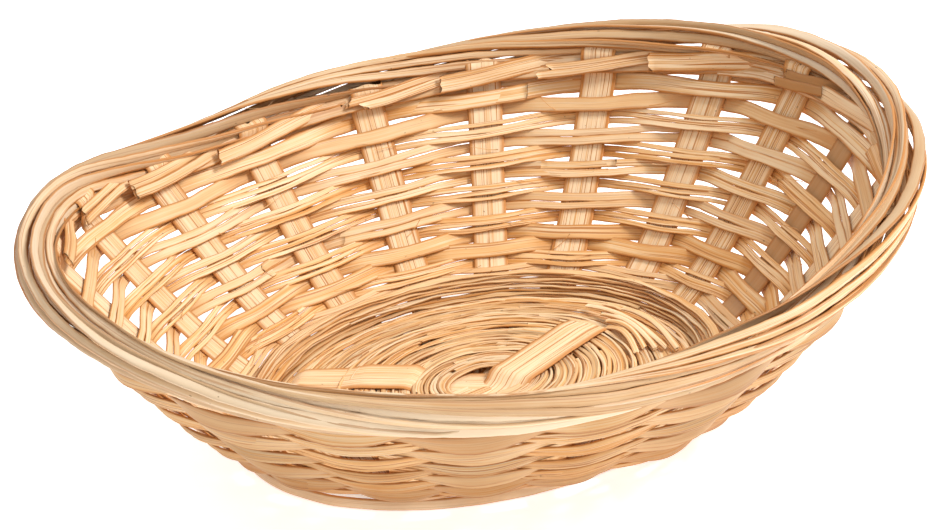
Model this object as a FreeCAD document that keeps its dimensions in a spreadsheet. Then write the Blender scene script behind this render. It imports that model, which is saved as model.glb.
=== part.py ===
"""Oval bread basket woven from split bamboo, as a parametric assembly of its separate strips.

Lengths are in millimetres.  The origin is the middle of the foot's resting edge, +Z is up and +X runs
along the basket's long axis.

Every strip that runs from the middle of the base up the wall (a stake) lies in a vertical plane through
the Z axis, and the wall is a straight ruled surface between the oval floor corner and the oval rim, so a
stake is flat along the wall and the weavers pass in front of and behind it by turns.
"""
import FreeCAD, Part
import math
import os

import Sketcher
from FreeCAD import Rotation, Vector

OUTPUT_FOLDER = "parts"

SIZES = {
    # the oval where the floor turns up into the wall, at the middle of a stake's thickness
    "floor_half_length": 66.0,
    "floor_half_width": 54.5,
    "floor_level": 4.0,
    # the middle of the rim's bundle of strands; the two ends stand higher than the two sides
    "rim_half_length": 124.6,
    "rim_half_width": 104.6,
    "rim_level": 62.6,
    "rim_end_rise": 6.0,
    # the wall bows out: how far beyond a straight line to the rim, at two shares of its height
    "low_bend_share": 0.12,
    "low_bow": 4.6,
    "high_bend_share": 0.4,
    "high_bow": 5.4,
    # stakes: flat strips through the middle of the base, both of whose ends run up the wall
    "stake_width": 10.0,
    "stake_thickness": 0.6,
    "hub_half_length": 39.5,
    "hub_half_width": 34.0,
    "merge_half_length": 45.0,
    "merge_half_width": 39.0,
    "lower_hub_level": 1.6,
    "upper_hub_level": 7.9,
    "hub_step": 0.62,
    # weavers of the wall, counted from the floor up; a row's place is a fraction of the wall's height,
    # and the rows lie wider apart towards the rim
    "wall_row_count": 13,
    "wall_first_row": 0.055,
    "wall_last_row": 0.82,
    "wall_row_spread": 1.12,
    "wall_weaver_width": 3.9,
    "wall_weaver_thickness": 0.7,
    "wall_weaver_wave": 1.5,
    # fine splints of the base: an inner group inside the hub oval and an outer group beside the wall
    "base_weaver_width": 3.2,
    "base_weaver_thickness": 1.0,
    "inner_ring_count": 5,
    "inner_ring_level": 6.7,
    "inner_ring_first_length": 17.0,
    "inner_ring_first_width": 13.5,
    "inner_ring_last_length": 37.0,
    "inner_ring_last_width": 31.5,
    "outer_ring_count": 4,
    "outer_ring_level": 4.5,
    "outer_ring_first_length": 48.0,
    "outer_ring_first_width": 41.5,
    "outer_ring_last_length": 62.0,
    "outer_ring_last_width": 51.8,
    # rim: flat strands laid round a hollow core like a slow rope
    "rim_strand_count": 5,
    "rim_strand_width": 2.9,
    "rim_strand_thickness": 0.8,
    "rim_core_radius": 4.65,
    # foot: one strip on edge under the bends of the stakes
    "foot_half_length": 68.5,
    "foot_half_width": 53.5,
    "foot_height": 3.4,
    "foot_thickness": 1.2,
}

# Directions of the stakes, in degrees from +X, as they were laid by hand; the order is that of the stack
# in the middle of the base, from the table up.  The last two lie on top of the fine splints.
LOWER_STAKE_ANGLES = [86.0, 164.0, 178.5, 108.0, 65.5, 128.0, 46.5, 13.0]
UPPER_STAKE_ANGLES = [148.0, 27.5]

CURVE_POINTS_PER_BAY = 4

doc = FreeCAD.newDocument("bread_basket")


# ---------------------------------------------------------------- driving dimensions

def make_sheet():
    """Writes every driving dimension to the document's sheet, under its alias."""
    sheet = doc.addObject("Spreadsheet::Sheet", "sizes")
    cells = dict(SIZES)
    for number, angle in enumerate(LOWER_STAKE_ANGLES + UPPER_STAKE_ANGLES, start=1):
        cells[f"stake_angle_{number:02d}"] = angle
    for row, (alias, value) in enumerate(cells.items(), start=1):
        sheet.set(f"A{row}", alias)
        sheet.set(f"B{row}", str(value))
        sheet.setAlias(f"B{row}", alias)
    doc.recompute()
    return sheet


sheet = make_sheet()


def size(alias):
    return float(sheet.get(alias))


# ---------------------------------------------------------------- the basket's ovals and wall

def oval_radius(half_length, half_width, azimuth):
    """Distance from the Z axis to an oval in the direction azimuth, in radians."""
    along = math.cos(azimuth) / half_length
    across = math.sin(azimuth) / half_width
    return 1.0 / math.hypot(along, across)


def rim_height(azimuth):
    """Height of the middle of the rim, which rises towards both ends of the oval."""
    along = size("rim_half_width") * math.cos(azimuth)
    across = size("rim_half_length") * math.sin(azimuth)
    end_share = (along ** 2 - across ** 2) / (along ** 2 + across ** 2)
    return size("rim_level") + size("rim_end_rise") * end_share


def wall_corners(azimuth):
    """The wall in one vertical plane: (fraction of its height, distance from the Z axis, height)."""
    foot_radius = oval_radius(size("floor_half_length"), size("floor_half_width"), azimuth)
    top_radius = oval_radius(size("rim_half_length"), size("rim_half_width"), azimuth)
    run = top_radius - foot_radius
    rise = rim_height(azimuth) - size("floor_level")
    bends = [
        (0.0, 0.0),
        (size("low_bend_share"), size("low_bow")),
        (size("high_bend_share"), size("high_bow")),
        (1.0, 0.0),
    ]
    return [
        (share, foot_radius + run * share + bow, size("floor_level") + rise * share)
        for share, bow in bends
    ]


def wall_frame(azimuth, fraction):
    """Point on the wall, its slope direction and its outward normal, all in the vertical plane."""
    corners = wall_corners(azimuth)
    index = next(i for i in range(1, len(corners)) if fraction <= corners[i][0])
    share, radius, height = corners[index - 1]
    next_share, next_radius, next_height = corners[index]
    run = next_radius - radius
    rise = next_height - height
    along = (fraction - share) / (next_share - share)
    radial = Vector(math.cos(azimuth), math.sin(azimuth), 0)
    up = Vector(0, 0, 1)
    point = radial * (radius + run * along) + up * (height + rise * along)
    slope = (radial * run + up * rise).normalize()
    outward = (radial * rise - up * run).normalize()
    return point, slope, outward


def rim_frame(azimuth):
    """Middle of the rim, the horizontal outward normal of its oval, and the wall's steepness there."""
    radius = oval_radius(size("rim_half_length"), size("rim_half_width"), azimuth)
    x = radius * math.cos(azimuth)
    y = radius * math.sin(azimuth)
    outward = Vector(x / size("rim_half_length") ** 2, y / size("rim_half_width") ** 2, 0).normalize()
    _, slope, _ = wall_frame(azimuth, 1.0)
    steepness = math.atan2(slope.z, math.hypot(slope.x, slope.y))
    return Vector(x, y, rim_height(azimuth)), outward, steepness


# Azimuths of all the stake ends round the basket: each strip has two, half a turn apart.
arm_azimuths = sorted(
    math.radians(angle + half_turn) % (2 * math.pi)
    for angle in LOWER_STAKE_ANGLES + UPPER_STAKE_ANGLES
    for half_turn in (0, 180)
)


def bay_samples():
    """Yields (azimuth, bays passed): evenly spaced steps between each stake end and the next."""
    arm_count = len(arm_azimuths)
    for arm in range(arm_count):
        start = arm_azimuths[arm]
        end = arm_azimuths[(arm + 1) % arm_count]
        width = (end - start) % (2 * math.pi)
        for step in range(CURVE_POINTS_PER_BAY):
            share = step / CURVE_POINTS_PER_BAY
            yield start + width * share, arm + share


# ---------------------------------------------------------------- closed ribbons

def ribbon_solid(sections):
    """Solid of a closed flat strip: each section is (middle, thickness vector, width vector)."""
    corners = [(-0.5, -0.5), (-0.5, 0.5), (0.5, 0.5), (0.5, -0.5)]
    # The four corner curves share one parameter per section, so that the faces between them lie square.
    parameters = [float(index) for index in range(len(sections) + 1)]
    edges = []
    for across, along in corners:
        curve = Part.BSplineCurve()
        points = [middle + thick * across + wide * along for middle, thick, wide in sections]
        curve.interpolate(Points=points, PeriodicFlag=True, Parameters=parameters)
        edges.append(curve.toShape())
    keep_directions = 1
    faces = [
        Part.makeRuledSurface(edges[index], edges[(index + 1) % len(edges)], keep_directions)
        for index in range(len(edges))
    ]
    solid = Part.makeSolid(Part.makeShell(faces))
    if solid.Volume < 0:
        solid.reverse()
    return solid


def add_shape(label, shape):
    """Puts a computed shape in the document under its own label."""
    feature = doc.addObject("Part::Feature", label)
    feature.Label = label
    feature.Shape = shape
    feature.Placement = FreeCAD.Placement()
    return feature


# ---------------------------------------------------------------- stakes

def oval_radius_text(half_length, half_width, angle):
    """The expression for oval_radius, from sheet aliases."""
    along = f"(cos(sizes.{angle} * 1 deg) / sizes.{half_length}) ^ 2"
    across = f"(sin(sizes.{angle} * 1 deg) / sizes.{half_width}) ^ 2"
    return f"1 / sqrt({along} + {across})"


def rim_height_text(angle):
    """The expression for rim_height, from sheet aliases."""
    along = f"(sizes.rim_half_width * cos(sizes.{angle} * 1 deg)) ^ 2"
    across = f"(sizes.rim_half_length * sin(sizes.{angle} * 1 deg)) ^ 2"
    end_share = f"({along} - {across}) / ({along} + {across})"
    return f"sizes.rim_level + sizes.rim_end_rise * {end_share}"


def wall_corner_texts(angle, share, bow):
    """The expressions for one bend of wall_corners."""
    foot_radius = oval_radius_text("floor_half_length", "floor_half_width", angle)
    top_radius = oval_radius_text("rim_half_length", "rim_half_width", angle)
    return (
        f"({foot_radius}) * (1 - sizes.{share}) + ({top_radius}) * sizes.{share} + sizes.{bow}",
        f"sizes.floor_level * (1 - sizes.{share}) + ({rim_height_text(angle)}) * sizes.{share}",
    )


def stake_outline(hub_level, azimuth):
    """Right half of a stake's underside: the hub's end, the floor's start, and the wall's corners."""
    half_thickness = size("stake_thickness") / 2
    floor = size("floor_level") - half_thickness
    (_, wall_start, _), *bends_and_end = wall_corners(azimuth)
    return [
        Vector(oval_radius(size("hub_half_length"), size("hub_half_width"), azimuth), hub_level, 0),
        Vector(oval_radius(size("merge_half_length"), size("merge_half_width"), azimuth), floor, 0),
        Vector(wall_start, floor, 0),
        *(Vector(radius, height, 0) for _, radius, height in bends_and_end),
    ]


def offset_outline(outline, distance):
    """The same half outline moved inwards and upwards by distance, with mitred corners."""
    directions = [Vector(1, 0, 0)]
    directions += [(outline[i + 1] - outline[i]).normalize() for i in range(len(outline) - 1)]
    moved = []
    for index, point in enumerate(outline):
        before = directions[index]
        after = directions[index + 1] if index + 1 < len(directions) else before
        bisector = (before + after).normalize()
        normal = Vector(-bisector.y, bisector.x, 0)
        moved.append(point + normal * (distance / bisector.dot(before)))
    return moved


def mirrored(points):
    return [Vector(-point.x, point.y, 0) for point in reversed(points)]


def origin_plane(body, role):
    return next(item for item in body.Origin.OriginFeatures if item.Role == role)


def constrain_stake(sketch, corner_count, texts):
    """Ties the closed outline's lines together and binds its corners to the sheet.

    The outline runs left to right along the underside and back along the upper side; line number i
    starts at corner i, and corner i mirrors the corner at the other end of its side.
    """
    side = corner_count // 2
    origin, vertical_axis, start, end = -1, -2, 1, 2
    for index in range(corner_count):
        sketch.addConstraint(
            Sketcher.Constraint("Coincident", index, end, (index + 1) % corner_count, start))
    for step in range(side // 2):
        for left, right in ((step, side - 1 - step),
                            (corner_count - 1 - step, side + step)):
            sketch.addConstraint(
                Sketcher.Constraint("Symmetric", left, start, right, start, vertical_axis))
    for step, (x_text, y_text) in enumerate(texts):
        corner = side // 2 + step
        for kind, text in (("DistanceX", x_text), ("DistanceY", y_text)):
            point = sketch.Geometry[corner].StartPoint
            value = point.x if kind == "DistanceX" else point.y
            number = sketch.addConstraint(
                Sketcher.Constraint(kind, origin, 1, corner, start, value))
            sketch.setExpression(f"Constraints[{number}]", text)
    cap = side - 1
    sketch.addConstraint(Sketcher.Constraint("Perpendicular", cap - 1, cap))
    for step in range(side // 2 - 1):
        lower = cap - 1 - step
        upper = cap + 1 + step
        sketch.addConstraint(Sketcher.Constraint("Parallel", lower, upper))
    for step in range(side // 2):
        lower = cap - 1 - step
        upper = cap + 1 + step
        number = sketch.addConstraint(
            Sketcher.Constraint("Distance", upper, start, lower, size("stake_thickness")))
        sketch.setExpression(f"Constraints[{number}]", "sizes.stake_thickness")


def add_stake(number, hub_level_text, hub_level):
    """One strip through the middle of the base with both of its ends bent up the wall."""
    label = f"stake_strip_{number:02d}"
    angle = f"stake_angle_{number:02d}"
    azimuth = math.radians(size(angle))
    body = doc.addObject("PartDesign::Body", label)
    body.Label = label

    sketch = body.newObject("Sketcher::SketchObject", f"{label}_profile")
    sketch.AttachmentSupport = (origin_plane(body, "XZ_Plane"), [""])
    sketch.MapMode = "FlatFace"
    under = stake_outline(hub_level, azimuth)
    upper = offset_outline(under, size("stake_thickness"))
    loop = mirrored(under) + under + list(reversed(upper)) + list(reversed(mirrored(upper)))
    for index, point in enumerate(loop):
        sketch.addGeometry(Part.LineSegment(point, loop[(index + 1) % len(loop)]), False)
    floor_text = "sizes.floor_level - sizes.stake_thickness / 2"
    texts = [
        (oval_radius_text("hub_half_length", "hub_half_width", angle), hub_level_text),
        (oval_radius_text("merge_half_length", "merge_half_width", angle), floor_text),
        (oval_radius_text("floor_half_length", "floor_half_width", angle), floor_text),
        wall_corner_texts(angle, "low_bend_share", "low_bow"),
        wall_corner_texts(angle, "high_bend_share", "high_bow"),
        (oval_radius_text("rim_half_length", "rim_half_width", angle), rim_height_text(angle)),
    ]
    constrain_stake(sketch, len(loop), texts)

    # The strip is as wide as the sheet says, and its width follows the oval's tangent, not the radius.
    _, outward, _ = rim_frame(azimuth)
    turn = azimuth - math.atan2(outward.y, outward.x)
    pad = body.newObject("PartDesign::Pad", f"{label}_pad")
    pad.Profile = sketch
    pad.SideType = "Symmetric"
    pad.UseCustomVector = True
    pad.Direction = Vector(-math.sin(-turn), math.cos(-turn), 0)
    pad.AlongSketchNormal = True
    pad.setExpression("Length", "sizes.stake_width")
    body.Placement = FreeCAD.Placement(Vector(), Rotation(Vector(0, 0, 1), size(angle)))
    body.setExpression("Placement.Rotation.Angle", f"sizes.{angle} * 1 deg")
    return body


def add_stakes():
    stakes = []
    for index in range(len(LOWER_STAKE_ANGLES)):
        text = f"sizes.lower_hub_level + {index} * sizes.hub_step"
        level = size("lower_hub_level") + index * size("hub_step")
        stakes.append(add_stake(index + 1, text, level))
    for index in range(len(UPPER_STAKE_ANGLES)):
        text = f"sizes.upper_hub_level + {index} * sizes.hub_step"
        level = size("upper_hub_level") + index * size("hub_step")
        stakes.append(add_stake(len(LOWER_STAKE_ANGLES) + index + 1, text, level))
    return stakes


# ---------------------------------------------------------------- wall

def add_wall_weavers():
    """Rows of flat strip that pass outside one stake and inside the next, each row out of step."""
    weavers = []
    row_count = int(size("wall_row_count"))
    reach = size("wall_last_row") - size("wall_first_row")
    for row in range(row_count):
        place = row / (row_count - 1)
        fraction = size("wall_first_row") + reach * place ** size("wall_row_spread")
        sections = []
        for azimuth, bays in bay_samples():
            point, slope, outward = wall_frame(azimuth, fraction)
            wave = size("wall_weaver_wave") * math.cos(math.pi * (bays + row))
            sections.append((
                point + outward * wave,
                outward * size("wall_weaver_thickness"),
                slope * size("wall_weaver_width"),
            ))
        weavers.append(add_shape(f"wall_weaver_{row + 1:02d}", ribbon_solid(sections)))
    return weavers


# ---------------------------------------------------------------- base

def add_oval_band(label, half_length, half_width, width, height, level):
    """Flat oval ring: an oval disc with a smaller oval cut out of it.  Each argument is an expression."""
    discs = []
    for name, reach in (("outside", f"+ ({width}) / 2"), ("inside", f"- ({width}) / 2")):
        oval = doc.addObject("Part::Ellipse", f"{label}_{name}_oval")
        oval.setExpression("MajorRadius", f"{half_length} {reach}")
        oval.setExpression("MinorRadius", f"{half_width} {reach}")
        oval.setExpression("Placement.Base.z", level)
        disc = doc.addObject("Part::Extrusion", f"{label}_{name}")
        disc.Base = oval
        disc.DirMode = "Custom"
        disc.Dir = Vector(0, 0, 1)
        disc.Solid = True
        disc.setExpression("LengthFwd", height)
        discs.append(disc)
    band = doc.addObject("Part::Cut", label)
    band.Label = label
    band.Base, band.Tool = discs
    return band


def add_base_weavers():
    """Fine splints wound round the base in ovals over the lower stakes."""
    rings = []
    for group in ("inner_ring", "outer_ring"):
        count = int(size(f"{group}_count"))
        for index in range(count):
            share = f"{index} / {count - 1}"
            reach = {
                axis: f"sizes.{group}_first_{axis}"
                      f" + (sizes.{group}_last_{axis} - sizes.{group}_first_{axis}) * {share}"
                for axis in ("length", "width")
            }
            rings.append(add_oval_band(
                f"base_weaver_{len(rings) + 1:02d}",
                reach["length"], reach["width"],
                "sizes.base_weaver_width", "sizes.base_weaver_thickness", f"sizes.{group}_level"))
    return rings


def add_foot():
    return add_oval_band(
        "foot_band", "sizes.foot_half_length", "sizes.foot_half_width",
        "sizes.foot_thickness", "sizes.foot_height", "0")


# ---------------------------------------------------------------- rim

def add_rim_strands():
    """Flat strands round a hollow core; a fifth of a turn per stake leaves each stake a way in."""
    strands = []
    count = int(size("rim_strand_count"))
    fifth = 2 * math.pi / count
    for strand in range(count):
        sections = []
        for azimuth, bays in bay_samples():
            middle, outward, steepness = rim_frame(azimuth)
            way_in = math.pi + steepness
            angle = way_in - fifth * (0.5 + bays + strand)
            up = Vector(0, 0, 1)
            away = outward * math.cos(angle) + up * math.sin(angle)
            around = up * math.cos(angle) - outward * math.sin(angle)
            sections.append((
                middle + away * size("rim_core_radius"),
                away * size("rim_strand_thickness"),
                around * size("rim_strand_width"),
            ))
        strands.append(add_shape(f"rim_strand_{strand + 1}", ribbon_solid(sections)))
    return strands


# ---------------------------------------------------------------- check and write

def check(subparts):
    """Stops with a message if an object failed or a sub-part's shape is missing or broken."""
    for item in doc.Objects:
        if "Invalid" in item.State or "Error" in item.State:
            raise RuntimeError(f"{item.Label} failed: {item.State}")
    for item in subparts:
        if item.Shape.isNull() or not item.Shape.isValid():
            raise RuntimeError(f"{item.Label} has no valid shape")
        if item.Shape.Volume <= 0 or len(item.Shape.Solids) != 1:
            raise RuntimeError(f"{item.Label} is not one closed solid")


def main():
    subparts = add_stakes() + add_base_weavers() + add_wall_weavers() + add_rim_strands()
    subparts.append(add_foot())
    doc.recompute()
    check(subparts)
    os.makedirs(OUTPUT_FOLDER, exist_ok=True)
    for item in subparts:
        item.Shape.exportStep(os.path.join(OUTPUT_FOLDER, f"{item.Label}.step"))
        box = item.Shape.BoundBox
        print(f"{item.Label}: {item.Shape.Volume:.0f} mm3, "
              f"{box.XLength:.1f} x {box.YLength:.1f} x {box.ZLength:.1f} mm, from z {box.ZMin:.2f}")


main()
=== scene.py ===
"""Oval bread basket of split bamboo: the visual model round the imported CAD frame.

Shapes are worked out in millimetres in the frame's own axes and scaled to metres when a mesh is made.
Every strip of the basket is a ribbon: a line of middles, a direction across it and a normal.
"""
import math

import bpy
import numpy as np
from mathutils import Matrix, Vector


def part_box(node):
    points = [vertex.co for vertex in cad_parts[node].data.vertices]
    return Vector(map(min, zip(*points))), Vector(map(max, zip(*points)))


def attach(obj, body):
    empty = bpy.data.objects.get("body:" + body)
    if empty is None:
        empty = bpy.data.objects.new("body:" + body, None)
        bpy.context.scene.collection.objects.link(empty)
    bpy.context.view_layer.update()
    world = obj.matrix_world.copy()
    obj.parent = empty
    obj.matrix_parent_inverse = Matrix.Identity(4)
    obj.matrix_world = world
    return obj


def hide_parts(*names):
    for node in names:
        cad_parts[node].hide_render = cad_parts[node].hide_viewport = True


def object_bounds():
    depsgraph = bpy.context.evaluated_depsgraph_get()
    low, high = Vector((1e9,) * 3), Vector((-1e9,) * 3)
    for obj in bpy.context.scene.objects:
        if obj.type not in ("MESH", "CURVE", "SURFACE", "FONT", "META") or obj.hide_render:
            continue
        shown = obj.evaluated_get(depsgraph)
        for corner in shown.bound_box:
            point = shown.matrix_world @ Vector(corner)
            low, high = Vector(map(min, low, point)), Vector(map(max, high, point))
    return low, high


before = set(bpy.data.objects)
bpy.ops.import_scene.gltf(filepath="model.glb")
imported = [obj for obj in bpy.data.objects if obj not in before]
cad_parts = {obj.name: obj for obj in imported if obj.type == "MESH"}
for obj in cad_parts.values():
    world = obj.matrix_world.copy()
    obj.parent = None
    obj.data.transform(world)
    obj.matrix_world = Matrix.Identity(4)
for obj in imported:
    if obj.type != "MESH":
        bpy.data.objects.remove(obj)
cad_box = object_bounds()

MM = 0.001
TURN = 2 * math.pi


# ---------------------------------------------------------------- places read from the frame

def box_mm(node):
    """A CAD node's lowest and highest corners, in millimetres."""
    low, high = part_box(node)
    return np.array(low) / MM, np.array(high) / MM


def half_sizes(node):
    """Half of a CAD node's length and width."""
    low, high = box_mm(node)
    return (high[0] - low[0]) / 2, (high[1] - low[1]) / 2


def nodes_named(prefix):
    return sorted(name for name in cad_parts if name.startswith(prefix))


STAKES = nodes_named("stake_strip")
WALL_ROWS = nodes_named("wall_weaver")
BASE_RINGS = nodes_named("base_weaver")
RIM_STRANDS = nodes_named("rim_strand")

RIM_RADIUS = 5.3          # from the middle of the rim's bundle to its outside
RIM_RISE = 6.0            # how much higher than their mean the two ends of the rim stand
FOOT_TO_FLOOR = (3.1, -0.4)  # how far the foot's outside stands beyond the floor's corner
FLOOR_OVER_FOOT = 0.6
WALL_BELLY = 5.5          # how far the wall bows out, level with the table
BELLY_LOW = 0.55          # less than 1 puts the widest part of the bow low down

basket_high = np.array(cad_box[1]) / MM
foot_half = half_sizes("foot_band")
foot_height = box_mm("foot_band")[1][2]

# Half length, half width and height of the floor's corner and of the rim's middle.
FLOOR_A = foot_half[0] - FOOT_TO_FLOOR[0]
FLOOR_B = foot_half[1] - FOOT_TO_FLOOR[1]
FLOOR_Z = foot_height + FLOOR_OVER_FOOT
RIM_A = basket_high[0] - RIM_RADIUS
RIM_B = basket_high[1] - RIM_RADIUS
RIM_Z = basket_high[2] - RIM_RISE - RIM_RADIUS
RIM_MEAN_RADIUS = 115.0   # turns an angle into a length along the rim


def stake_azimuth(node):
    """Direction in which a stake strip runs, from the two clusters of points at its ends."""
    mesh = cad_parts[node].data
    points = np.array([v.co for v in mesh.vertices])
    tops = points[points[:, 2] > 0.9 * points[:, 2].max()]
    ahead = tops[tops @ tops[0] > 0]
    direction = ahead.mean(axis=0)
    return math.atan2(direction[1], direction[0]) % math.pi


def row_share(node):
    """How far up the wall a row lies, from 0 at the floor to 1 at the rim."""
    low, high = box_mm(node)
    return ((low[2] + high[2]) / 2 - FLOOR_Z) / (RIM_Z - FLOOR_Z)


stake_azimuths = {node: stake_azimuth(node) for node in STAKES}
# The directions of the stakes' ends: each stake has two, on opposite sides.
arms = np.array(sorted(azimuth + turned for azimuth in stake_azimuths.values()
                       for turned in (0.0, math.pi)))
ARM_COUNT = len(arms)


def bays_passed(azimuth):
    """Number of stakes passed on the way round to azimuth, with the fraction of the bay it is in."""
    turns = np.floor((azimuth - arms[0]) / TURN)
    local = azimuth - turns * TURN
    knots = np.append(arms, arms[0] + TURN)
    return turns * ARM_COUNT + np.interp(local, knots, np.arange(ARM_COUNT + 1))


def azimuth_at(bays):
    """The direction after that many bays, which bays_passed undoes."""
    turns = np.floor(np.asarray(bays, float) / ARM_COUNT)
    knots = np.append(arms, arms[0] + TURN)
    return np.interp(bays - turns * ARM_COUNT, np.arange(ARM_COUNT + 1), knots) + turns * TURN


# ---------------------------------------------------------------- ovals and the wall

def oval_radius(a, b, azimuth):
    return 1.0 / np.hypot(np.cos(azimuth) / a, np.sin(azimuth) / b)


def near(azimuth, place, spread):
    """1 at the direction place, falling to 0 a few spreads away; both are in degrees."""
    apart = (azimuth - math.radians(place) + math.pi) % TURN - math.pi
    return np.exp(-(apart / math.radians(spread)) ** 2)


# Where the rim stands higher or lower than a true curve: direction, spread and height.
UNEVEN_RIM = ((70.0, 22.0, 0.6), (122.0, 20.0, -3.0), (150.0, 16.0, 2.2), (330.0, 22.0, -1.0))


def rim_level(azimuth):
    along = (RIM_B * np.cos(azimuth)) ** 2
    across = (RIM_A * np.sin(azimuth)) ** 2
    uneven = sum(rise * near(azimuth, place, spread) for place, spread, rise in UNEVEN_RIM)
    return RIM_Z + RIM_RISE * (along - across) / (along + across) + uneven


def stack(x, y, z):
    return np.stack(np.broadcast_arrays(x, y, z), axis=-1).astype(float)


def unit(vectors):
    return vectors / np.linalg.norm(vectors, axis=-1, keepdims=True)


def belly(share):
    """How far the wall bows out beyond a straight line from the floor to the rim, and its slope."""
    share = np.clip(share, 0.01, 1.0)
    turned = math.pi * share ** BELLY_LOW
    return WALL_BELLY * np.sin(turned), WALL_BELLY * np.cos(turned) * BELLY_LOW * turned / share


# Where the wall stands further out than a true flare: direction, spread and distance.
SLACK_WALL = ((330.0, 35.0, 2.2), (295.0, 22.0, 3.2), (200.0, 24.0, 3.0))
SLACK_FROM = 0.15         # the share of the wall's height over which the slack sets in


def slack(azimuth, share):
    """How far a slack wall stands outside its proper place."""
    loose = sum(out * near(azimuth, place, spread) for place, spread, out in SLACK_WALL)
    return loose * smooth_step(share / SLACK_FROM)


def wall_frame(azimuth, share):
    """Points on the wall, with the unit vectors up its slope and out of it."""
    bottom = oval_radius(FLOOR_A, FLOOR_B, azimuth)
    bow, bow_slope = belly(share)
    across = oval_radius(RIM_A, RIM_B, azimuth) - bottom
    run = across + bow_slope
    rise = rim_level(azimuth) - FLOOR_Z
    radius = bottom + across * share + bow + slack(azimuth, share)
    cos, sin = np.cos(azimuth), np.sin(azimuth)
    point = stack(radius * cos, radius * sin, FLOOR_Z + rise * share)
    slope = unit(stack(run * cos, run * sin, rise))
    outward = unit(stack(rise * cos, rise * sin, -run))
    return point, slope, outward


def rim_frame(azimuth):
    """Middle of the rim with its horizontal outward normal."""
    radius = oval_radius(RIM_A, RIM_B, azimuth)
    x, y = radius * np.cos(azimuth), radius * np.sin(azimuth)
    outward = unit(stack(x / RIM_A ** 2, y / RIM_B ** 2, 0.0))
    return stack(x, y, rim_level(azimuth)), outward


# ---------------------------------------------------------------- irregularity

def wander(distance, size, wavelength, rng):
    """A smooth random wave along a strip, about +-size, with features about a wavelength long."""
    total = np.zeros_like(np.asarray(distance, float))
    for weight, ratio in ((0.6, 1.0), (0.3, 0.53), (0.2, 0.29)):
        phase = rng.uniform(0, TURN)
        stretch = rng.uniform(0.85, 1.15)
        total = total + weight * np.sin(TURN * distance / (wavelength * ratio * stretch) + phase)
    return size * total


def smooth_step(value):
    value = np.clip(value, 0.0, 1.0)
    return value * value * (3 - 2 * value)


# ---------------------------------------------------------------- ribbons

# A thick and a thin strip's section, as (share of half width, share of half thickness), once round.
SECTION = [(-1.0, -0.35), (-1.0, 0.35), (-0.9, 0.92), (-0.55, 1.0), (-0.18, 1.0), (0.18, 1.0), (0.55, 1.0),
           (0.9, 0.92), (1.0, 0.35), (1.0, -0.35), (0.9, -0.92), (0.5, -1.0), (0.0, -1.0), (-0.5, -1.0),
           (-0.9, -0.92)]
THIN_SECTION = [(-1.0, 0.0), (-0.6, 0.85), (0.0, 1.0), (0.6, 0.85), (1.0, 0.0), (0.6, -0.85), (-0.6, -0.85)]
RECESS_PAINTED_SHADE = (-0.12, 0.5, 0.0)      # painted shade that the deeper face's tone has more: darker and warmer
NO_TONE = (0.0, 0.0, 0.0)
LEFT_FRAY, RIGHT_FRAY = 14.0, 17.0   # wavelengths of the unevenness of a strip's two edges
UV_SCALE = 100.0          # millimetres to one unit of the material's coordinates
UV_PLACES = (900, 300)    # each strip shows its own stretch of the grain, from within this much


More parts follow.
